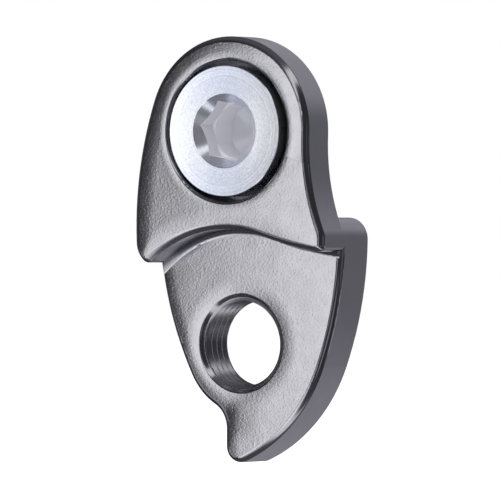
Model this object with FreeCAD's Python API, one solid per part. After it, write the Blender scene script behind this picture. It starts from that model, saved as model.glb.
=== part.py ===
import FreeCAD, Part
import math
import os

# Derailleur hanger extender, sizes in millimetres.
# X runs across the link, +Y from its front to its back, +Z up.
# The origin is on the bolt axis, in the flat seat that bears on the bicycle's hanger.

# Plates: the upper lobe lies in front of the seat, and the lower lobe's front is set back by the jog
upper_thickness = 4.75
jog = 4.0
lower_thickness = 5.6

# Threaded hole for the derailleur, and the point that its lobe is drawn about, from the bolt axis
hole_drop = 22.9
hole_left = 0.75
lobe_left = 0.5
thread_major_radius = 5.0
hole_chamfer = 0.35
hole_countersink = 0.65

# Upper lobe's outline
lobe_radius = 10.2
upper_flank_radius = 40.2
upper_flank_drop = 10.2
ear_radius = 2.7
ear_drop = 14.6
ear_tip_radius = 0.7
waist_radius = 24.4
waist_drop = 1.5

# Step between the lobes, a wide arch over the threaded hole that flares out to the right
arch_radius = 14.95
arch_drop = 10.55
flare_start = 4.7
flare_radius = 40.0
step_corner_radius = 0.65

# Lower lobe's outline
ledge_drop = 9.3
shoulder_radius = 2.35
ledge_corner_radius = 1.6
right_flank_radius = 40.0
heel_radius = 18.2
heel_right = 11.2
heel_down = 14.16
lower_flank_radius = 37.6
rim_radius = 7.68
rim_flank_drop = 9.02
tail_left = 2.37
tail_root_radius = 3.0
tail_tip_radius = 1.75

# Rounded edges of the casting, and the bevel round its machined backs
front_round = 0.65
rim_round = 0.35
chamfer_round = 0.25
back_bevel = 0.4

# Hollow round along the step's foot: the angles that it runs to either side of the flare's start, and
# the larger round, set in from the lobe's edge, that its ends die away over
foot_round = 0.65
foot_run_left = 70.0
foot_run_right = 16.0
foot_end_round = 1.3
foot_end_inset = 0.15
foot_end_proud = 0.1

# Bolt, and the counterbore and hole that it sits in
head_radius = 7.05
head_proud = 0.52
head_clearance = 0.55
counterbore_depth = 2.8
bolt_clearance = 0.25
neck_undercut = 0.25
bolt_reach = 8.5
bolt_end_chamfer = 0.8
head_bevel = 0.22
hex_across_flats = 6.0
hex_depth = 2.9
hex_turn = 169.0
socket_bevel_radius = 4.0
socket_bevel_angle = 45.0
pilot_depth = 6.1
drill_point_angle = 118.0

# Depths along Y and centres in the X-Z plane that these sizes give
upper_front = -upper_thickness
seat = 0.0
lower_front = upper_front + jog
lower_back = lower_front + lower_thickness
hole_centre = (-hole_left, -hole_drop)
lobe_centre = (-lobe_left, -hole_drop)
counterbore_radius = head_radius + head_clearance


def centre_between(first, first_distance, second, second_distance, side):
    """Point (x, z) at the given distances from two others, left (+1) or right (-1) of the way between."""
    across, up = second[0] - first[0], second[1] - first[1]
    span = math.hypot(across, up)
    along = (first_distance ** 2 - second_distance ** 2 + span ** 2) / (2 * span)
    away = side * math.sqrt(first_distance ** 2 - along ** 2)
    return (first[0] + (along * across - away * up) / span,
            first[1] + (along * up + away * across) / span)


def shared_normal(circle, following):
    """Outward normal where an outline that runs anticlockwise leaves one circle for the next."""
    (x1, z1, r1), (x2, z2, r2) = circle, following
    span = math.hypot(x2 - x1, z2 - z1)
    across, up = (x2 - x1) / span, (z2 - z1) / span
    inline = round((r1 - r2) / span, 9)
    sideways = math.sqrt(1.0 - inline ** 2)
    return (inline * across + sideways * up, inline * up - sideways * across)


def tangent_outline(circles, y):
    """Face at depth y, bounded by arcs of the circles (x, z, r), each joined to the next without a
    corner, by a straight line where they don't touch. A negative radius is a hollow."""
    normals = [shared_normal(circle, circles[(i + 1) % len(circles)]) for i, circle in enumerate(circles)]
    edges = []
    last_point = None
    for i, (x, z, r) in enumerate(circles):
        start, end = normals[i - 1], normals[i]
        middle = (start[0] + end[0], start[1] + end[1])
        size = math.hypot(*middle)
        points = [FreeCAD.Vector(x + r * n[0], y, z + r * n[1])
                  for n in (start, (middle[0] / size, middle[1] / size), end)]
        if last_point is not None and last_point.distanceToPoint(points[0]) > 1e-4:
            edges.append(Part.LineSegment(last_point, points[0]).toShape())
        edges.append(Part.Arc(*points).toShape())
        last_point = points[2]
    return Part.Face(Part.Wire(Part.__sortEdges__(edges)))


def right_side():
    """Circles of the right-hand wall that both lobes share: waist, shoulder, flank and heel."""
    waist_z = -waist_drop
    waist_x = math.sqrt((lobe_radius + waist_radius) ** 2 - waist_z ** 2)
    shoulder_z = -(ledge_drop + shoulder_radius)
    reach = waist_radius + shoulder_radius
    shoulder_x = waist_x - math.sqrt(reach ** 2 - (shoulder_z - waist_z) ** 2)
    shoulder = (shoulder_x, shoulder_z)
    heel = (lobe_centre[0] + heel_right - heel_radius, lobe_centre[1] - heel_down + heel_radius)
    flank = centre_between(shoulder, right_flank_radius - shoulder_radius,
                           heel, right_flank_radius - heel_radius, -1)
    return ((waist_x, waist_z, -waist_radius),
            (*shoulder, shoulder_radius),
            (*flank, right_flank_radius),
            (*heel, heel_radius))


def upper_circles():
    """Outline of the upper lobe: round top, left flank, ear, arched step and flare, right side."""
    waist, shoulder, right_flank, heel = right_side()
    reach = upper_flank_radius - lobe_radius
    flank = (math.sqrt(reach ** 2 - upper_flank_drop ** 2), -upper_flank_drop)
    ear_z = -ear_drop + ear_radius
    ear_reach = upper_flank_radius - ear_radius
    ear = (flank[0] - math.sqrt(ear_reach ** 2 - (ear_z - flank[1]) ** 2), ear_z)
    arch = (lobe_centre[0], -arch_drop - arch_radius)
    tip = centre_between(ear, ear_radius - ear_tip_radius, arch, arch_radius + ear_tip_radius, -1)
    lean = math.asin(flare_start / arch_radius)
    flare_reach = arch_radius + flare_radius
    flare = (arch[0] + flare_reach * math.sin(lean), arch[1] + flare_reach * math.cos(lean))
    corner = centre_between(flare, flare_radius - step_corner_radius,
                            right_flank[:2], right_flank_radius - step_corner_radius, 1)
    return [(0.0, 0.0, lobe_radius),
            (*flank, upper_flank_radius),
            (*ear, ear_radius),
            (*tip, ear_tip_radius),
            (*arch, -arch_radius),
            (*flare, flare_radius),
            (*corner, step_corner_radius),
            right_flank,
            shoulder,
            waist]


def lower_circles():
    """Outline of the lower lobe: ledge, left flank, rim round the hole, tail, heel, right side."""
    waist, shoulder, right_flank, heel = right_side()
    flank_z = -rim_flank_drop
    reach = lower_flank_radius - rim_radius
    flank = (lobe_centre[0] + math.sqrt(reach ** 2 - (flank_z - lobe_centre[1]) ** 2), flank_z)
    corner_z = -ledge_drop - ledge_corner_radius
    corner_reach = lower_flank_radius - ledge_corner_radius
    corner_x = flank[0] - math.sqrt(corner_reach ** 2 - (corner_z - flank_z) ** 2)
    tail_x = lobe_centre[0] - tail_left
    root_x = tail_x - tail_root_radius
    root_reach = rim_radius + tail_root_radius
    root_z = lobe_centre[1] - math.sqrt(root_reach ** 2 - (root_x - lobe_centre[0]) ** 2)
    tip_x = tail_x + tail_tip_radius
    tip_reach = heel_radius - tail_tip_radius
    tip_z = heel[1] - math.sqrt(tip_reach ** 2 - (tip_x - heel[0]) ** 2)
    return [shoulder,
            (corner_x, corner_z, ledge_corner_radius),
            (*flank, lower_flank_radius),
            (*lobe_centre, rim_radius),
            (root_x, root_z, -tail_root_radius),
            (tip_x, tip_z, tail_tip_radius),
            heel,
            right_flank]


def plate(circles, front, back):
    """Flat plate with the given outline, from one depth to another."""
    return tangent_outline(circles, front).extrude(FreeCAD.Vector(0, back - front, 0))


def edges_in_plane(shape, y):
    """Edges that lie wholly at the depth y."""
    return [edge for edge in shape.Edges
            if abs(edge.BoundBox.YMin - y) < 1e-3 and abs(edge.BoundBox.YMax - y) < 1e-3]


def rim_edge(shape, radius, y):
    """The full circle of the given radius at the depth y."""
    return [edge for edge in edges_in_plane(shape, y)
            if max(abs(edge.BoundBox.XLength - 2 * radius), abs(edge.BoundBox.ZLength - 2 * radius)) < 1e-3]


def edged_plate(circles, front, back):
    """Plate with its front edge rounded as cast, and the edge of its machined back bevelled."""
    solid = plate(circles, front, back)
    solid = solid.makeFillet(front_round, edges_in_plane(solid, front))
    return solid.makeChamfer(back_bevel, edges_in_plane(solid, back))


def axial_cylinder(centre, radius, front, back):
    """Round bar along Y between two depths."""
    base = FreeCAD.Vector(centre[0], front, centre[1])
    return Part.makeCylinder(radius, back - front, base, FreeCAD.Vector(0, 1, 0))


def turned(profile, centre=(0.0, 0.0)):
    """Solid of revolution about an axis along Y. The profile is a list of (radius, depth)."""
    points = [FreeCAD.Vector(centre[0] + radius, depth, centre[1]) for radius, depth in profile]
    face = Part.Face(Part.makePolygon(points + points[:1]))
    axis = FreeCAD.Vector(centre[0], 0, centre[1])
    return face.revolve(axis, FreeCAD.Vector(0, 1, 0), 360)


def step_foot():
    """Hollow round along the foot of the step, run out over the lower lobe's own rounded edges."""
    arch, flare = upper_circles()[4:6]
    out = shared_normal(arch, flare)
    wall = (arch[0] + arch[2] * out[0], arch[1] + arch[2] * out[1])

    def place(from_wall, y):
        return FreeCAD.Vector(wall[0] + from_wall * out[0], y, wall[1] + from_wall * out[1])

    top = lower_front - foot_round
    middle = foot_round * (1 - math.sqrt(0.5))
    hollow = Part.Arc(place(0, top), place(middle, lower_front - middle), place(foot_round, lower_front))
    rest = Part.makePolygon([place(foot_round, lower_front), place(foot_round, seat),
                             place(-foot_round, seat), place(-foot_round, top), place(0, top)])
    section = Part.Face(Part.Wire([hollow.toShape(), *rest.Edges]))
    upright = FreeCAD.Vector(0, 1, 0)
    left = section.revolve(FreeCAD.Vector(arch[0], 0, arch[1]), upright, -foot_run_left)
    right = section.revolve(FreeCAD.Vector(flare[0], 0, flare[1]), upright, -foot_run_right)
    limit_front = top - foot_end_proud
    limit = plate([(x, z, r - foot_end_inset) for x, z, r in lower_circles()], limit_front, lower_back)
    limit = limit.makeFillet(foot_end_round, edges_in_plane(limit, limit_front))
    return left.fuse(right).common(limit)


def blank():
    """The two plates with the neck where they overlap, before the holes are made."""
    upper, lower = upper_circles(), lower_circles()
    neck_front = upper_front + 2 * front_round
    neck_back = seat + 2 * front_round
    neck = plate(upper, neck_front, neck_back).common(plate(lower, neck_front, neck_back))
    body = edged_plate(upper, upper_front, seat)
    body = body.fuse([edged_plate(lower, lower_front, lower_back), neck, step_foot()])
    return body.removeSplitter()


def link_body():
    """Cast link with its counterbored bolt hole and the chamfered hole for the derailleur's thread."""
    body = blank()
    counterbore_floor = upper_front + counterbore_depth
    bolt_hole = axial_cylinder((0, 0), thread_major_radius + bolt_clearance, upper_front, seat)
    counterbore = axial_cylinder((0, 0), counterbore_radius, upper_front, counterbore_floor)
    body = body.cut(bolt_hole.fuse(counterbore))
    body = body.makeFillet(rim_round, rim_edge(body, counterbore_radius, upper_front))
    mouth = thread_major_radius + hole_chamfer
    sink = thread_major_radius + hole_countersink
    threaded = turned([(0, lower_front), (mouth, lower_front),
                       (thread_major_radius, lower_front + hole_chamfer),
                       (thread_major_radius, lower_back - hole_countersink),
                       (sink, lower_back), (0, lower_back)], hole_centre)
    body = body.cut(threaded)
    return body.makeFillet(chamfer_round, rim_edge(body, mouth, lower_front))


def hexagon_bar(across_flats, turn, front, back):
    """Six-sided bar along Y with one corner at the given angle from +X towards +Z."""
    corner_radius = across_flats / 2 / math.cos(math.radians(30))
    corners = []
    for side in range(6):
        angle = math.radians(turn + 60 * side)
        across, up = corner_radius * math.cos(angle), corner_radius * math.sin(angle)
        corners.append(FreeCAD.Vector(across, front, up))
    face = Part.Face(Part.makePolygon(corners + corners[:1]))
    return face.extrude(FreeCAD.Vector(0, back - front, 0))


def hanger_bolt():
    """Turned bolt: flat bevelled head, undercut neck, M10 shank and a hexagon socket over its drilling."""
    face = upper_front - head_proud
    underside = upper_front + counterbore_depth
    neck_radius = thread_major_radius - neck_undercut
    body = turned([(0, face), (head_radius - head_bevel, face), (head_radius, face + head_bevel),
                   (head_radius, underside), (neck_radius, underside), (neck_radius, seat),
                   (thread_major_radius, seat),
                   (thread_major_radius, bolt_reach - bolt_end_chamfer),
                   (thread_major_radius - bolt_end_chamfer, bolt_reach), (0, bolt_reach)])
    pilot_radius = hex_across_flats / 2
    slope = math.tan(math.radians(socket_bevel_angle))
    point_length = pilot_radius / math.tan(math.radians(drill_point_angle / 2))
    bore = turned([(0, face), (socket_bevel_radius, face),
                   (pilot_radius, face + (socket_bevel_radius - pilot_radius) * slope),
                   (pilot_radius, face + pilot_depth), (0, face + pilot_depth + point_length)])
    socket = hexagon_bar(hex_across_flats, hex_turn, face, face + hex_depth)
    return body.cut(bore.fuse(socket))


os.makedirs("parts", exist_ok=True)
for name, shape in (("link_body", link_body()), ("hanger_bolt", hanger_bolt())):
    shape.exportStep("parts/" + name + ".step")
    print(name, shape.isValid(), len(shape.Solids), len(shape.Faces), round(shape.Volume, 2))
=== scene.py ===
import math

import bpy
import numpy as np
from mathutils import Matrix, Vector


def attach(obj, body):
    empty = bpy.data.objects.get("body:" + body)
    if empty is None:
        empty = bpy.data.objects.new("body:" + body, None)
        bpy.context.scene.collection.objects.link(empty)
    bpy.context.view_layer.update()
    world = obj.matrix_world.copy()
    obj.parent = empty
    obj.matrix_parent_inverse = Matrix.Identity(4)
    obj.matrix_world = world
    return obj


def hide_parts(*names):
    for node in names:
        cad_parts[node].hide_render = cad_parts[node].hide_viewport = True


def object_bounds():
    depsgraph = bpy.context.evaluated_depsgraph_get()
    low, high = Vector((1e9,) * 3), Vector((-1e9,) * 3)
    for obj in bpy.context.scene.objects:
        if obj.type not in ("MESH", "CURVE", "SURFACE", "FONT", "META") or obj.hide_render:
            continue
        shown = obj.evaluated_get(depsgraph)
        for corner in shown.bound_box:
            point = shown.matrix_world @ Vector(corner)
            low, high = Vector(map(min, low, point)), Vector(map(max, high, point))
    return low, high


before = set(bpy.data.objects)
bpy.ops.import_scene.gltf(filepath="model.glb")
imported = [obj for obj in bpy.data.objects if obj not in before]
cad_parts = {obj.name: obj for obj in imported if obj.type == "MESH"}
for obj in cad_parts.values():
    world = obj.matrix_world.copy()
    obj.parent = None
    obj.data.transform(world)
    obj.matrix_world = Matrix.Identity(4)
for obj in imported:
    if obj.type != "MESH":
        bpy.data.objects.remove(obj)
cad_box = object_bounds()


# Cast link
# The link is one die-cast alloy body. Tumbling left its front faces finely pebbled and its edges soft,
# and a dark nickel plating keeps the pebbles glossy and the plain side walls smooth.

# Lengths are in metres. A facing is how far the surface looks along Y, and is -1 on the front faces.
NICKEL = (0.500, 0.498, 0.525, 1.0)
NICKEL_SHADE = (0.455, 0.453, 0.482, 1.0)
TONE_SIZE = 0.0022
SHEEN_SIZE = 0.0011
SHEEN = (0.13, 0.19)
FRONT_FACING = (-0.90, -0.995)

# The grain of the front faces: pebbles and sparse nibs, both a little flattened, and slow waves. The
# nibs are what stands above one level of their noise.
PEBBLE_SIZE = 0.00034
PEBBLE_HEIGHT = 0.0000075
PEBBLE_STRETCH = (1.0, 1.0, 0.62)
NIB_SIZE = 0.00026
NIB_HEIGHT = 0.0000130
NIB_STRETCH = (1.0, 1.0, 0.8)
NIB_FROM = 0.56
WAVE_SIZE = 0.005
WAVE_HEIGHT = 0.000018

# How far in from an edge the tumbling has worn the face, and how deep at the edge itself. Past the
# edge the nearness stops growing, and the fall fades where the surface turns away from the front.
WORN_UPPER_EDGE = (0.0025, 0.000090)
WORN_LOWER_EDGE = (0.0019, 0.000060)
WORN_TAIL = (0.0050, 0.000085)
WORN_RIM = (0.0009, 0.000030)
WORN_HOLE = (0.0018, 0.000045)
WORN_MOST = 1.2
WORN_FACING = (-0.15, -0.55)

# Lengths over which two edges blend into one, and the heights where the tail's hollow comes and goes.
UPPER_BLEND = 0.0008
TAIL_BLEND = 0.0015
TAIL_HOLLOW = ((-0.0245, -0.0295), (-0.0343, -0.0315))

# Circles of the outlines and holes in the X-Z plane: x, z and radius. The tail's side is its x.
LOBE = (0.0, 0.0, 0.0102)
UPPER_FLANK = (0.02821, -0.0102, 0.0402)
STEP_ARCH = (-0.0005, -0.0255, 0.01495)
RIM = (-0.0005, -0.0229, 0.00768)
LOWER_FLANK = (0.02601, -0.00902, 0.0376)
COUNTERBORE = (0.0, 0.0, 0.00776)
THREADED_HOLE = (-0.00075, -0.0229, 0.00545)
TAIL_SIDE = -0.00287

# The step: the depth that parts the two lobes, the depths where its duller wall comes in, how near its
# arch the wall lies, and what it adds to the roughness.
STEP_DEPTH = -0.0028
STEP_FOOT = (-0.0002, -0.0008)
STEP_REACH = (0.0006, 0.0003)
STEP_DULL = 0.08

# The painted shade in the counterbore: its colour, the depths where it comes in and ends, and its soft side.
BORE_SHADE = (0.10, 0.10, 0.11, 1.0)
BORE_MOUTH = (-0.0043, -0.0041)
BORE_END = (-0.0012, -0.0016)
BORE_SIDE = (0.0, 0.0001)


def add(tree, kind, inputs=None, **settings):
    """Adds a shader node, sets its settings and fills its inputs with values or other nodes' outputs."""
    node = tree.nodes.new(kind)
    for name, value in settings.items():
        setattr(node, name, value)
    for name, value in (inputs or {}).items():
        if isinstance(value, bpy.types.NodeSocket):
            tree.links.new(value, node.inputs[name])
        else:
            node.inputs[name].default_value = value
    return node


def math_node(tree, operation, *values):
    """Output of a Math node that applies the operation to the values."""
    return add(tree, "ShaderNodeMath", dict(enumerate(values)), operation=operation).outputs[0]


def product(tree, *values):
    """Output of a chain of Math nodes that multiplies all the values."""
    result = values[0]
    for value in values[1:]:
        result = math_node(tree, "MULTIPLY", result, value)
    return result


def total(tree, *values):
    """Output of a chain of Math nodes that adds all the values."""
    result = values[0]
    for value in values[1:]:
        result = math_node(tree, "ADD", result, value)
    return result


def choose(tree, share, first, second):
    """Value that goes from the first to the second as the share goes from 0 to 1."""
    return add(tree, "ShaderNodeMix", {0: share, 2: first, 3: second}).outputs[0]


def blend(tree, share, first, second):
    """Colour that goes from the first to the second as the share goes from 0 to 1."""
    inputs = {"Factor": share, "A": first, "B": second}
    return add(tree, "ShaderNodeMix", inputs, data_type="RGBA").outputs["Result"]


def between(tree, share, low, high):
    """Value that goes evenly from low to high as the share goes from 0 to 1."""
    inputs = {"Value": share, "To Min": low, "To Max": high}
    return add(tree, "ShaderNodeMapRange", inputs).outputs["Result"]


def ramp(tree, value, low, high, soft=True):
    """Share from 0 to 1 that the value has gone from low to high, eased at both ends if soft."""
    kind = "SMOOTHSTEP" if soft else "LINEAR"
    inputs = {"Value": value, "From Min": low, "From Max": high}
    return add(tree, "ShaderNodeMapRange", inputs, interpolation_type=kind).outputs["Result"]


def noise(tree, position, size, stretch=(1.0, 1.0, 1.0), detail=2.0):
    """Noise from 0 to 1 whose lumps are about the given size, longer where stretch is above 1."""
    scale = [1.0 / (size * s) for s in stretch]
    placed = add(tree, "ShaderNodeMapping", {"Vector": position, "Scale": scale}).outputs["Vector"]
    inputs = {"Vector": placed, "Scale": 1.0, "Detail": detail, "Roughness": 0.5}
    return add(tree, "ShaderNodeTexNoise", inputs).outputs["Fac"]


def new_material(name):
    """Material with an empty node tree, and its output node."""
    material = bpy.data.materials.new(name)
    material.use_nodes = True
    material.node_tree.nodes.clear()
    return material, material.node_tree, add(material.node_tree, "ShaderNodeOutputMaterial")


def from_axis(tree, x, z, circle):
    """Distance in the X-Z plane from the centre of a circle (x, z, radius)."""
    across = math_node(tree, "SUBTRACT", x, circle[0])
    up = math_node(tree, "SUBTRACT", z, circle[1])
    squares = total(tree, product(tree, across, across), product(tree, up, up))
    return math_node(tree, "SQRT", squares)


def inside_arc(tree, x, z, circle):
    """How far a point lies inside a circle (x, z, radius), negative outside it."""
    return math_node(tree, "SUBTRACT", circle[2], from_axis(tree, x, z, circle))


def left_outline(tree, x, z, round_end, flank):
    """Distance in from a lobe's left edge. A line through the centres of the two circles parts them:
    the round end holds on one side of it, and the long flank on the other."""
    across = flank[0] - round_end[0]
    up = flank[1] - round_end[1]
    from_end_x = math_node(tree, "SUBTRACT", x, round_end[0])
    from_end_z = math_node(tree, "SUBTRACT", z, round_end[1])
    side = math_node(tree, "SUBTRACT", product(tree, from_end_x, up), product(tree, from_end_z, across))
    beyond = math_node(tree, "GREATER_THAN", product(tree, side, math.copysign(1.0, up)), 0.0)
    return choose(tree, beyond, inside_arc(tree, x, z, flank), inside_arc(tree, x, z, round_end))


def worn(tree, distance, width, depth):
    """Fall of the face towards an edge: the worn depth times the square of how near the edge is."""
    near = math_node(tree, "SUBTRACT", 1.0, math_node(tree, "DIVIDE", distance, width))
    near = math_node(tree, "MAXIMUM", math_node(tree, "MINIMUM", near, WORN_MOST), 0.0)
    return product(tree, near, near, -depth)


def outside_circle(tree, x, z, circle):
    """How far a point lies outside a circle (x, z, radius), negative inside it."""
    return product(tree, inside_arc(tree, x, z, circle), -1.0)


def cast_nickel():
    """Dark plated casting: pebbled front faces that tumbling has worn down a little towards their edges
    and the rims of their holes, smooth walls, a duller step and painted shade in the counterbore."""
    material, tree, output = new_material("cast_nickel")
    place = add(tree, "ShaderNodeTexCoord")
    position = place.outputs["Object"]
    parts = add(tree, "ShaderNodeSeparateXYZ", {"Vector": position}).outputs
    x, y, z = parts["X"], parts["Y"], parts["Z"]
    facing = add(tree, "ShaderNodeSeparateXYZ", {"Vector": place.outputs["Normal"]}).outputs["Y"]
    front = ramp(tree, facing, *FRONT_FACING)

    lobe_edge = left_outline(tree, x, z, LOBE, UPPER_FLANK)
    upper_edge = math_node(tree, "SMOOTH_MIN", lobe_edge, outside_circle(tree, x, z, STEP_ARCH), UPPER_BLEND)
    upper_fall = total(tree, worn(tree, upper_edge, *WORN_UPPER_EDGE),
                       worn(tree, outside_circle(tree, x, z, COUNTERBORE), *WORN_RIM))
    flank_edge = left_outline(tree, x, z, RIM, LOWER_FLANK)
    tail_edge = math_node(tree, "SUBTRACT", x, TAIL_SIDE)
    lower_edge = math_node(tree, "SMOOTH_MAX", flank_edge, tail_edge, TAIL_BLEND)
    hollow = product(tree, *[ramp(tree, z, *span) for span in TAIL_HOLLOW])
    lower_fall = total(tree, worn(tree, lower_edge, *WORN_LOWER_EDGE),
                       worn(tree, outside_circle(tree, x, z, THREADED_HOLE), *WORN_HOLE),
                       product(tree, hollow, worn(tree, lower_edge, *WORN_TAIL)))
    upper = math_node(tree, "LESS_THAN", y, STEP_DEPTH)
    fall = product(tree, choose(tree, upper, lower_fall, upper_fall), ramp(tree, facing, *WORN_FACING))

    pebbles = math_node(tree, "SUBTRACT", noise(tree, position, PEBBLE_SIZE, PEBBLE_STRETCH, 3.0), 0.5)
    waves = math_node(tree, "SUBTRACT", noise(tree, position, WAVE_SIZE, detail=1.0), 0.5)
    nibs = math_node(tree, "SUBTRACT", noise(tree, position, NIB_SIZE, NIB_STRETCH, 1.0), NIB_FROM)
    grain = total(tree, product(tree, pebbles, PEBBLE_HEIGHT), product(tree, waves, WAVE_HEIGHT),
                  product(tree, math_node(tree, "MAXIMUM", nibs, 0.0), NIB_HEIGHT))
    height = total(tree, product(tree, grain, front), fall)
    bump = add(tree, "ShaderNodeBump", {"Height": height, "Strength": 1.0, "Distance": 1.0})

    tone = blend(tree, noise(tree, position, TONE_SIZE, detail=3.0), NICKEL, NICKEL_SHADE)
    # Painted shade: inside the counterbore the colour darkens to BORE_SHADE, for the shade in the narrow gap
    # round the bolt's head.
    painted_bore_shade = product(tree, ramp(tree, y, *BORE_MOUTH), ramp(tree, y, *BORE_END),
                   ramp(tree, inside_arc(tree, x, z, COUNTERBORE), *BORE_SIDE))
    off_step = math_node(tree, "ABSOLUTE", inside_arc(tree, x, z, STEP_ARCH))
    step_wall = product(tree, ramp(tree, off_step, *STEP_REACH), math_node(tree, "SUBTRACT", 1.0, front),
                        ramp(tree, y, *STEP_FOOT))
    sheen = between(tree, noise(tree, position, SHEEN_SIZE), *SHEEN)
    shader = add(tree, "ShaderNodeBsdfPrincipled", {
        "Base Color": blend(tree, painted_bore_shade, tone, BORE_SHADE), "Metallic": 1.0,
        "Roughness": total(tree, sheen, product(tree, step_wall, STEP_DULL)),
        "Normal": bump.outputs["Normal"]})
    tree.links.new(shader.outputs["BSDF"], output.inputs["Surface"])
    return material


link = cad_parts["link_body"]
nickel = cast_nickel()
link.data.materials.clear()
link.data.materials.append(nickel)


# Thread in the derailleur's hole
# The M10 thread of 1 mm pitch is tapped straight into the link, so it is the link's own metal, cut
# bright at its crests. It runs from the small chamfer in front to the countersink at the back.

# Lengths of the shapes are in millimetres from here on. Sizes of the metals' grain stay in metres.
MILLIMETRE = 0.001
PITCH = 1.0
HOLE_CENTRE = (-0.75, -22.9)
HOLE_ROOT = 5.0
HOLE_CREST = 4.6
HOLE_SKIN = 0.06
HOLE_FRONT = -0.40
HOLE_BACK = 4.20
HOLE_LEAD = 0.16
HOLE_RUN_OUT = 0.40
ROOT_FLAT = 0.12
CREST_FLAT = 0.14
THREAD_LAP = 0.01
ROWS_PER_PITCH = 24
COLUMNS = 180
SHARP_ANGLE = 32
CUT_BRIGHT = (0.56, 0.56, 0.59, 1.0)
CUT_DARK = (0.42, 0.42, 0.45, 1.0)
CUT_SHEEN = (0.22, 0.36)
CUT_TONE_SIZE = 0.0008
CUT_MARK_SIZE = 0.00012
CUT_MARK_HEIGHT = 0.000004


def thread_height(depth, angle, pitch):
    """Height from 0 in the root to 1 on the crest of a right-hand thread about +Y. The phase is the
    depth over the pitch plus the share of a turn, and the flanks rise evenly between two flats."""
    phase = depth / pitch + angle / (2 * np.pi)
    ridge = np.abs(phase - np.floor(phase) - 0.5) * 2
    return np.clip((ridge - ROOT_FLAT) / (1 - ROOT_FLAT - CREST_FLAT), 0, 1)


def wrapped_mesh(name, x, y, z, wrap_rows=False, first_pole=False, last_pole=False):
    """Closed mesh from a grid in rows and columns. The columns join round, and the rows join too or
    end in poles, where the whole row is one point. Millimetres in, metres out."""
    rows, columns = x.shape
    points = np.stack((x, y, z), axis=-1).reshape(-1, 3) * MILLIMETRE
    index = np.arange(rows * columns).reshape(rows, columns)
    if first_pole:
        index[0] = index[0, 0]
    if last_pole:
        index[-1] = index[-1, 0]
    below = np.roll(index, -1, axis=0) if wrap_rows else index[1:]
    above = index if wrap_rows else index[:-1]
    quads = np.stack((above, np.roll(above, -1, 1), np.roll(below, -1, 1), below), axis=-1).reshape(-1, 4)
    flat_start = quads[:, 0] == quads[:, 1]
    flat_end = quads[:, 2] == quads[:, 3]
    triangles = np.concatenate((quads[flat_start][:, [0, 2, 3]], quads[flat_end][:, [0, 1, 2]]))
    quads = quads[~(flat_start | flat_end)]
    used, packed = np.unique(np.concatenate((quads.ravel(), triangles.ravel())), return_inverse=True)
    corners = len(quads) * 4
    faces = packed[:corners].reshape(-1, 4).tolist() + packed[corners:].reshape(-1, 3).tolist()
    mesh = bpy.data.meshes.new(name)
    mesh.from_pydata(points[used].tolist(), [], faces)
    mesh.polygons.foreach_set("use_smooth", np.ones(len(faces), bool))
    mesh.set_sharp_from_angle(angle=math.radians(SHARP_ANGLE))
    piece = bpy.data.objects.new(name, mesh)
    bpy.context.scene.collection.objects.link(piece)
    return piece


def tapped_thread():
    """Sleeve round the hole's axis: its inside is the root radius less the thread's height, eased in
    over the lead at the front and out over the run-out at the back, and its outside is in the wall."""
    angle = np.arange(COLUMNS) * 2 * np.pi / COLUMNS
    steps = round((HOLE_BACK - HOLE_FRONT) / PITCH * ROWS_PER_PITCH)
    depth = np.linspace(HOLE_FRONT, HOLE_BACK, steps + 1)[:, None]
    lead = np.clip((depth - HOLE_FRONT) / HOLE_LEAD, 0, 1)
    run_out = np.clip((HOLE_BACK - depth) / HOLE_RUN_OUT, 0, 1)
    height = (HOLE_ROOT - HOLE_CREST) * thread_height(depth, angle, PITCH) * np.minimum(lead, run_out)
    inside = HOLE_ROOT - THREAD_LAP - height
    outside = np.full((2, COLUMNS), HOLE_ROOT + HOLE_SKIN)
    radius = np.concatenate((inside, outside))
    y = np.concatenate((depth, [[HOLE_BACK], [HOLE_FRONT]])) + 0 * angle
    x = HOLE_CENTRE[0] + radius * np.cos(angle)
    z = HOLE_CENTRE[1] + radius * np.sin(angle)
    return wrapped_mesh("hole_thread", x[::-1], y[::-1], z[::-1], wrap_rows=True)


def cut_nickel():
    """The link's metal where a tap has cut it: brighter, with marks that follow the cut."""
    material, tree, output = new_material("cut_nickel")
    position = add(tree, "ShaderNodeTexCoord").outputs["Object"]
    marks = noise(tree, position, CUT_MARK_SIZE, (1.0, 0.5, 1.0), 3.0)
    tone = blend(tree, noise(tree, position, CUT_TONE_SIZE), CUT_BRIGHT, CUT_DARK)
    bump = add(tree, "ShaderNodeBump", {"Height": marks, "Strength": 1.0, "Distance": CUT_MARK_HEIGHT})
    shader = add(tree, "ShaderNodeBsdfPrincipled", {
        "Base Color": tone, "Metallic": 1.0,
        "Roughness": between(tree, marks, *CUT_SHEEN), "Normal": bump.outputs["Normal"]})
    tree.links.new(shader.outputs["BSDF"], output.inputs["Surface"])
    return material


hole_thread = tapped_thread()
hole_thread.data.materials.append(cut_nickel())
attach(hole_thread, "root")


# Hanger bolt
# The bolt is turned from bar and left bright. Its broad flat head fills the counterbore, its hexagon
# socket is broached over a drilled hole, and its M10 thread takes the hanger behind the link.

BOLT_FACE = -5.27
HEAD_RADIUS = 7.05
HEAD_BEVEL = 0.06
HEAD_UNDERSIDE = -1.95
NECK_RADIUS = 4.75
SHANK_RADIUS = 5.0
SHANK_ROOT = 4.4
BOLT_END = 8.5
END_CHAMFER = 0.8
THREAD_FADE = 0.7
NECK_SLOPE = 2
HEX_APOTHEM = 3.0
HEX_TURN = 169.0
HEX_DEPTH = 2.9
SOCKET_BEVEL = 4.0
PILOT_DEPTH = 6.1
POINT_ANGLE = 118.0
PILOT_LAP = 0.005
FACE_DISH = 0.065
DISH_LIP = 0.001

# Width of a broken edge, and where the middle of its round lies, as shares of that width.
EDGE = 0.02
EDGE_MIDDLE = (0.2, 0.35)
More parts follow.
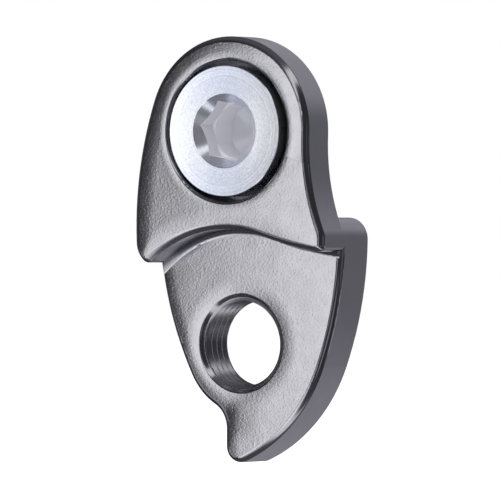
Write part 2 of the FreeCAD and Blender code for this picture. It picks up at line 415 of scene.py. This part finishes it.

# The steel's tones, its grain, and how dull or matt the socket and its mouth are. The face's bright and
# bluish tones make a painted highlight that fans across it, and the ledge's white is a painted highlight.
BRIGHT_STEEL = (0.97, 0.98, 1.0, 1.0)
BLUE_STEEL = (0.60, 0.65, 0.79, 1.0)
LEDGE_PAINTED_HIGHLIGHT = (1.0, 1.0, 1.0, 1.0)
BROACHED_STEEL = (0.76, 0.75, 0.81, 1.0)
DRILLED_STEEL = (0.90, 0.90, 0.95, 1.0)
RING_SIZE = 0.00009
RING_HEIGHT = 0.0000010
SPECK_SIZE = 0.00019
BROAD_SIZE = 0.0016
BROAD_HEIGHT = 0.0000020
GRAIN_SPAN = (0.68, 1.32)
GRAIN_SHARE = 0.75
PAINTED_HIGHLIGHT_SHARE = 0.55
FAN_START = -0.10
STEEL_SHEEN = (0.12, 0.17)
STEEL_METALLIC = 0.95
MOUTH_DULL = 0.07
MOUTH_MATT = 0.14
SOCKET_MATT = 0.85

# Where the socket's shading begins and ends: millimetres in from its mouth, millimetres from its
# ledge, and facings.
MOUTH_REACH = 0.10
SOCKET_REACH = 0.15
ABOVE_LEDGE = (-0.06, -0.01)
BELOW_LEDGE = (0.01, 0.06)
WALL_FACING = (-0.55, -0.20)
LEDGE_FACING = (-0.95, -0.50)


def turned_bolt():
    """Surface of the radius over (station, angle). The stations go from the bottom of the drilling
    up the socket, over the head and down the thread to the end. In the socket the radius is the
    hexagon's, the apothem over the cosine of the angle from the nearest flat's middle."""
    turn = math.radians(HEX_TURN) + np.arange(COLUMNS) * 2 * np.pi / COLUMNS
    from_flat = (turn - math.radians(HEX_TURN)) % (np.pi / 3) - np.pi / 6
    hexagon = HEX_APOTHEM / np.cos(from_flat)
    floor = BOLT_FACE + PILOT_DEPTH
    point = HEX_APOTHEM / math.tan(math.radians(POINT_ANGLE / 2))
    ledge = BOLT_FACE + HEX_DEPTH
    bevel_end = BOLT_FACE + SOCKET_BEVEL - hexagon
    pilot = HEX_APOTHEM - PILOT_LAP
    dished = BOLT_FACE + FACE_DISH
    face_rim = HEAD_RADIUS - HEAD_BEVEL
    stations = [
        (0, floor + point),
        (0.5 * pilot, floor + 0.5 * point),
        (pilot, floor),
        (pilot, ledge),
        (hexagon, ledge),
        (hexagon, bevel_end),
        (SOCKET_BEVEL - 2 * EDGE, dished + 2 * EDGE),
        (SOCKET_BEVEL - EDGE, dished + EDGE),
        (SOCKET_BEVEL - EDGE_MIDDLE[0] * EDGE, dished + EDGE_MIDDLE[1] * EDGE),
        (SOCKET_BEVEL + EDGE, dished),
        (SOCKET_BEVEL + 1.5 * EDGE, dished),
        (SOCKET_BEVEL + 3 * EDGE, dished),
        (face_rim - 3 * EDGE, BOLT_FACE + DISH_LIP),
        (face_rim - 1.5 * EDGE, BOLT_FACE),
        (face_rim - EDGE, BOLT_FACE),
        (face_rim + EDGE_MIDDLE[0] * EDGE, BOLT_FACE + EDGE_MIDDLE[1] * EDGE),
        (face_rim + EDGE, BOLT_FACE + EDGE),
        (HEAD_RADIUS, BOLT_FACE + HEAD_BEVEL),
        (HEAD_RADIUS, HEAD_UNDERSIDE),
        (NECK_RADIUS, HEAD_UNDERSIDE),
        (NECK_RADIUS, 0)]
    radius = np.stack([np.broadcast_to(station[0], COLUMNS) for station in stations])
    depth = np.stack([np.broadcast_to(station[1], COLUMNS) for station in stations])
    steps = round(BOLT_END / PITCH * ROWS_PER_PITCH)
    shank_depth = np.linspace(0, BOLT_END, steps + 1)[:, None] + 0 * turn
    fade = np.clip(shank_depth / THREAD_FADE, 0, 1)
    chamfered = SHANK_RADIUS + BOLT_END - END_CHAMFER - shank_depth
    crest = np.minimum(SHANK_RADIUS, np.minimum(NECK_RADIUS + shank_depth * NECK_SLOPE, chamfered))
    root = np.minimum(SHANK_ROOT + (NECK_RADIUS - SHANK_ROOT) * (1 - fade), crest)
    shank = root + (crest - root) * thread_height(shank_depth, turn, PITCH)
    radius = np.concatenate((radius, shank[1:], np.zeros((1, COLUMNS))))
    depth = np.concatenate((depth, shank_depth[1:], np.full((1, COLUMNS), BOLT_END)))
    return wrapped_mesh("bolt_turned", radius * np.cos(turn), depth, radius * np.sin(turn),
                        first_pole=True, last_pole=True)


def turned_steel():
    """Bright turned metal: fine rings about the bolt's axis on its face, in a tone with a painted highlight
    that fans from bright at the sides to bluish above and below, a slightly duller mouth and a broached
    socket that is matt, with a white painted highlight on its ledge."""
    material, tree, output = new_material("turned_steel")
    place = add(tree, "ShaderNodeTexCoord")
    position = place.outputs["Object"]
    parts = add(tree, "ShaderNodeSeparateXYZ", {"Vector": position}).outputs
    y, z = parts["Y"], parts["Z"]
    facing = add(tree, "ShaderNodeSeparateXYZ", {"Vector": place.outputs["Normal"]}).outputs["Y"]
    away = from_axis(tree, parts["X"], z, COUNTERBORE)

    def from_ledge(span):
        """Share of the way between two depths, given in millimetres from the socket's ledge."""
        return ramp(tree, y, *[(BOLT_FACE + HEX_DEPTH + offset) * MILLIMETRE for offset in span])

    def past_mouth(reach):
        """Share of the way in from the socket's mouth, and 1 from that many millimetres inside it."""
        return ramp(tree, away, SOCKET_BEVEL * MILLIMETRE, (SOCKET_BEVEL - reach) * MILLIMETRE)

    broached = math_node(tree, "MAXIMUM", from_ledge(ABOVE_LEDGE), ramp(tree, facing, *WALL_FACING))
    in_socket = product(tree, past_mouth(SOCKET_REACH), broached)
    in_mouth = past_mouth(MOUTH_REACH)

    rings = add(tree, "ShaderNodeCombineXYZ", {"X": away, "Y": y}).outputs["Vector"]
    fine = noise(tree, rings, RING_SIZE, detail=3.0)
    specks = noise(tree, position, SPECK_SIZE, detail=3.0)
    broad = noise(tree, position, BROAD_SIZE)
    height = total(tree, product(tree, fine, RING_HEIGHT), product(tree, broad, BROAD_HEIGHT))
    bump = add(tree, "ShaderNodeBump", {"Height": height, "Strength": 1.0, "Distance": 1.0})

    # Painted highlight: mixed with its grain, the face runs from bright at the sides to bluish above and
    # below, as turning marks catch the light.
    painted_highlight_fan = math_node(tree, "DIVIDE", product(tree, z, z), product(tree, away, away))
    grain = ramp(tree, total(tree, fine, specks), *GRAIN_SPAN, soft=False)
    grain_and_painted_highlight = total(tree, product(tree, grain, GRAIN_SHARE), product(tree, painted_highlight_fan, PAINTED_HIGHLIGHT_SHARE), FAN_START)
    face = blend(tree, grain_and_painted_highlight, BRIGHT_STEEL, BLUE_STEEL)
    # Painted highlight: the ledge, which faces the front, is white against the darker hexagon walls.
    hexagon = blend(tree, ramp(tree, facing, *LEDGE_FACING), LEDGE_PAINTED_HIGHLIGHT, BROACHED_STEEL)
    socket = blend(tree, from_ledge(BELOW_LEDGE), hexagon, DRILLED_STEEL)

    matt = math_node(tree, "MAXIMUM", product(tree, in_socket, SOCKET_MATT),
                     product(tree, in_mouth, MOUTH_MATT))
    shader = add(tree, "ShaderNodeBsdfPrincipled", {
        "Base Color": blend(tree, in_socket, face, socket),
        "Metallic": math_node(tree, "SUBTRACT", STEEL_METALLIC, matt),
        "Roughness": total(tree, between(tree, broad, *STEEL_SHEEN), product(tree, in_mouth, MOUTH_DULL)),
        "Normal": bump.outputs["Normal"]})
    tree.links.new(shader.outputs["BSDF"], output.inputs["Surface"])
    return material


bolt = turned_bolt()
bolt.data.materials.append(turned_steel())
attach(bolt, "root")
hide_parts("hanger_bolt")


# Studio
# The part hangs just clear of a white floor, inside a small light tent that only its metal mirrors:
# a bright window to the left of the camera, grey behind the part and dark cloth elsewhere.

# Lengths are in metres again. The lamp's tilt is its turns about X and Z in degrees.
FLOOR_GAP = 0.010
FLOOR_SIZE = 3.0
FLOOR_LEVEL = 0.50
FLOOR_WHITE = (0.8, 0.8, 0.8, 1.0)
ROOM_LEVEL = 0.8
ROOM_SEEN_LEVEL = 1.0
LAMP_SIZE = 0.5
LAMP_POWER = 3.0
LAMP_PLACE = (-0.25, -0.45, 0.6)
LAMP_TILT = (37, -29)
TENT_RADIUS = 0.30
TENT_CENTRE = (0.0, 0.0, -0.0128)
TENT_COLUMNS = 96
TENT_ROWS = 49

# The window, in degrees round from the front and up. Its left side leans with height and its top
# rises towards the right.
WINDOW_LEVEL = 1.47
WINDOW_AZIMUTH = (-34.4, -22.0)
WINDOW_RISE = (-34.0, 8.2)
WINDOW_SIDE_LEAN = 0.25
WINDOW_TOP_LEAN = 0.7
WINDOW_EDGE = 2.5

# Two bright strips along great circles, each in one half of the tent: the normal of its circle and
# the half, 1 above and -1 below.
STRIPS = (((0.80, -0.12, -0.57), 1.0), ((0.88, -0.25, 0.37), -1.0))
STRIP_EDGES = (0.18, 0.09)
STRIP_HALF = (0.10, 0.35)
STRIP_BACK = (0.60, -0.30)

# The cloth's own glow. A band starts and ends at two shares of the way along an axis, and a patch lies
# in one direction, between the cosines at its rim and at its core. The last number is the glow.
CLOTH_COLOUR = (1.0, 0.985, 1.10, 1.0)
CLOTH_GREY = 0.045
BEHIND = (0.62, 0.80)
BEHIND_GLOW = 0.15
BEHIND_ABOVE = ((0.15, 0.50), 0.21)
BEHIND_BELOW = ((-0.20, -0.55), 0.15)
BACK_BAND = ((0.90, 0.96), 0.55)
TOP_BAND = ((0.50, 0.95), 0.08)
FOOT_BAND = ((-0.50, -0.95), 0.05)
PATCHES = (
    ((-1.00, 0.00, 0.00), (0.930, 0.970), 0.06),
    ((-0.77, -0.56, -0.31), (0.970, 0.985), 0.42),
    ((0.77, 0.58, -0.28), (0.965, 0.990), 0.35),
    ((0.00, -1.00, 0.00), (0.984, 0.994), 0.42),
    ((-0.20, -0.83, -0.52), (0.955, 0.985), 0.52),
    ((0.62, -0.69, -0.37), (0.965, 0.990), 0.25),
    ((1.00, 0.00, 0.00), (0.950, 0.990), 0.10))


def seen_share(tree):
    """1 for what the camera or a mirror sees, and 0 for light that falls on a dull surface."""
    path = add(tree, "ShaderNodeLightPath").outputs
    mirrored = math_node(tree, "MAXIMUM", path["Is Glossy Ray"], path["Is Transmission Ray"])
    return math_node(tree, "MAXIMUM", path["Is Camera Ray"], mirrored)


def white_stage(name, level):
    """Diffuse white that the camera and the metal see as plain white, apart from the shadow on it."""
    material, tree, output = new_material(name)
    diffuse = add(tree, "ShaderNodeBsdfDiffuse", {"Color": FLOOR_WHITE})
    glow = add(tree, "ShaderNodeEmission", {"Strength": product(tree, seen_share(tree), level)})
    both = add(tree, "ShaderNodeAddShader", {0: diffuse.outputs[0], 1: glow.outputs[0]})
    tree.links.new(both.outputs[0], output.inputs["Surface"])
    return material


def window_share(tree, angle, low, high):
    """1 between two angles in degrees and 0 outside, eased over the window's soft edge either side."""
    rise = ramp(tree, angle, low - WINDOW_EDGE, low + WINDOW_EDGE)
    fall = ramp(tree, angle, high + WINDOW_EDGE, high - WINDOW_EDGE)
    return product(tree, rise, fall)


def towards(tree, direction, target):
    """Cosine of the angle between the direction and a target, as a share of both lengths."""
    size = math.sqrt(sum(part * part for part in target))
    unit = tuple(part / size for part in target)
    dot = add(tree, "ShaderNodeVectorMath", {0: direction, 1: unit}, operation="DOT_PRODUCT")
    return dot.outputs["Value"]


def tent_cloth():
    """Glow of the tent by direction from its centre. Azimuth runs from the front towards +X."""
    material, tree, output = new_material("tent_cloth")
    place = add(tree, "ShaderNodeTexCoord").outputs["Object"]
    direction = add(tree, "ShaderNodeVectorMath", {0: place}, operation="NORMALIZE").outputs["Vector"]
    ray = add(tree, "ShaderNodeSeparateXYZ", {"Vector": direction}).outputs
    x, y, z = ray["X"], ray["Y"], ray["Z"]
    azimuth = math_node(tree, "DEGREES", math_node(tree, "ARCTAN2", x, product(tree, y, -1.0)))
    rise = math_node(tree, "DEGREES", math_node(tree, "ARCSINE", z))

    side_lean = product(tree, math_node(tree, "MAXIMUM", rise, 0.0), WINDOW_SIDE_LEAN)
    from_left = math_node(tree, "SUBTRACT", azimuth, WINDOW_AZIMUTH[0])
    top_lean = product(tree, math_node(tree, "MAXIMUM", from_left, 0.0), WINDOW_TOP_LEAN)
    window = product(
        tree, window_share(tree, math_node(tree, "SUBTRACT", azimuth, side_lean), *WINDOW_AZIMUTH),
        window_share(tree, math_node(tree, "SUBTRACT", rise, top_lean), *WINDOW_RISE), WINDOW_LEVEL)

    def band(axis, span, glow):
        """Glow that comes in between two shares of the way along an axis."""
        return product(tree, ramp(tree, axis, *span), glow)

    def strip(normal, half):
        """Bright strip along the great circle with this normal, in one half of the tent."""
        off = math_node(tree, "ABSOLUTE", towards(tree, direction, normal))
        return product(tree, ramp(tree, off, *STRIP_EDGES),
                       ramp(tree, product(tree, z, half), *STRIP_HALF), ramp(tree, y, *STRIP_BACK))

    behind = total(tree, band(z, *BEHIND_ABOVE), band(z, *BEHIND_BELOW), BEHIND_GLOW)
    level = total(tree, CLOTH_GREY, product(tree, ramp(tree, y, *BEHIND), behind),
                  band(y, *BACK_BAND), band(z, *TOP_BAND), band(z, *FOOT_BAND),
                  *[band(towards(tree, direction, target), span, glow) for target, span, glow in PATCHES])
    white_level = total(tree, window, *[strip(normal, half) for normal, half in STRIPS])
    cloth = add(tree, "ShaderNodeEmission", {"Color": CLOTH_COLOUR, "Strength": level})
    white = add(tree, "ShaderNodeEmission", {"Strength": white_level})
    both = add(tree, "ShaderNodeAddShader", {0: cloth.outputs[0], 1: white.outputs[0]})
    tree.links.new(both.outputs[0], output.inputs["Surface"])
    return material


def lay_floor():
    """Square floor, a little below the lowest point of the part."""
    height = cad_box[0][2] - FLOOR_GAP
    half = FLOOR_SIZE / 2
    corners = [(-half, -half, height), (half, -half, height), (half, half, height), (-half, half, height)]
    mesh = bpy.data.meshes.new("floor")
    mesh.from_pydata(corners, [], [(0, 1, 2, 3)])
    floor = bpy.data.objects.new("floor", mesh)
    bpy.context.scene.collection.objects.link(floor)
    floor.data.materials.append(white_stage("floor_white", FLOOR_LEVEL))
    floor.visible_glossy = False


def raise_tent():
    """Sphere round the part: a ring of azimuths at each rise, seen only by reflections."""
    azimuth = np.arange(TENT_COLUMNS) * 2 * np.pi / TENT_COLUMNS
    rise = np.linspace(-np.pi / 2, np.pi / 2, TENT_ROWS)[:, None]
    radius = TENT_RADIUS / MILLIMETRE
    x = radius * np.cos(rise) * np.cos(azimuth)
    y = radius * np.cos(rise) * np.sin(azimuth)
    z = radius * np.sin(rise) + 0 * azimuth
    tent = wrapped_mesh("light_tent", x, y, z, first_pole=True, last_pole=True)
    tent.location = TENT_CENTRE
    tent.data.materials.append(tent_cloth())
    tent.visible_camera = False
    tent.visible_diffuse = False
    tent.visible_shadow = False


def light_world():
    """White round the camera and in mirrors, and a plain grey light for the floor."""
    world = bpy.data.worlds.new("white_room")
    bpy.context.scene.world = world
    world.use_nodes = True
    tree = world.node_tree
    tree.nodes.clear()
    strength = total(tree, product(tree, seen_share(tree), ROOM_SEEN_LEVEL - ROOM_LEVEL), ROOM_LEVEL)
    background = add(tree, "ShaderNodeBackground", {"Color": (1.0, 1.0, 1.0, 1.0), "Strength": strength})
    output = add(tree, "ShaderNodeOutputWorld")
    tree.links.new(background.outputs[0], output.inputs["Surface"])


def hang_lamp():
    """Broad soft lamp above and in front, for the shadow on the floor."""
    data = bpy.data.lights.new("overhead", "AREA")
    data.shape = "SQUARE"
    data.size = LAMP_SIZE
    data.energy = LAMP_POWER
    lamp = bpy.data.objects.new("overhead", data)
    bpy.context.scene.collection.objects.link(lamp)
    lamp.location = LAMP_PLACE
    lamp.rotation_euler = (math.radians(LAMP_TILT[0]), 0.0, math.radians(LAMP_TILT[1]))
    lamp.visible_glossy = False


lay_floor()
raise_tent()
light_world()
hang_lamp()


# Camera
# Level with the middle of the part, well to the right of its front, and far off with a long lens.

# The azimuth is in degrees. The distance and the aim are in millimetres.
CAMERA_AZIMUTH = 33.0
CAMERA_DISTANCE = 700.0
PIXELS_PER_MILLIMETRE = 9.3
FRAME_PIXELS = 500
SENSOR_WIDTH = 36.0
AIM = (2.53, -4.75, -12.80)

turn = math.radians(CAMERA_AZIMUTH)
camera_data = bpy.data.cameras.new("camera")
camera_data.sensor_width = SENSOR_WIDTH
camera_data.lens = PIXELS_PER_MILLIMETRE * CAMERA_DISTANCE / FRAME_PIXELS * SENSOR_WIDTH
camera = bpy.data.objects.new("camera", camera_data)
bpy.context.scene.collection.objects.link(camera)
camera.location = np.array((AIM[0] * math.cos(turn) + CAMERA_DISTANCE * math.sin(turn),
                            AIM[1] + AIM[0] * math.sin(turn) - CAMERA_DISTANCE * math.cos(turn),
                            AIM[2])) * MILLIMETRE
camera.rotation_euler = (math.radians(90), 0.0, turn)
bpy.context.scene.camera = camera
bpy.context.scene.view_settings.view_transform = "Standard"
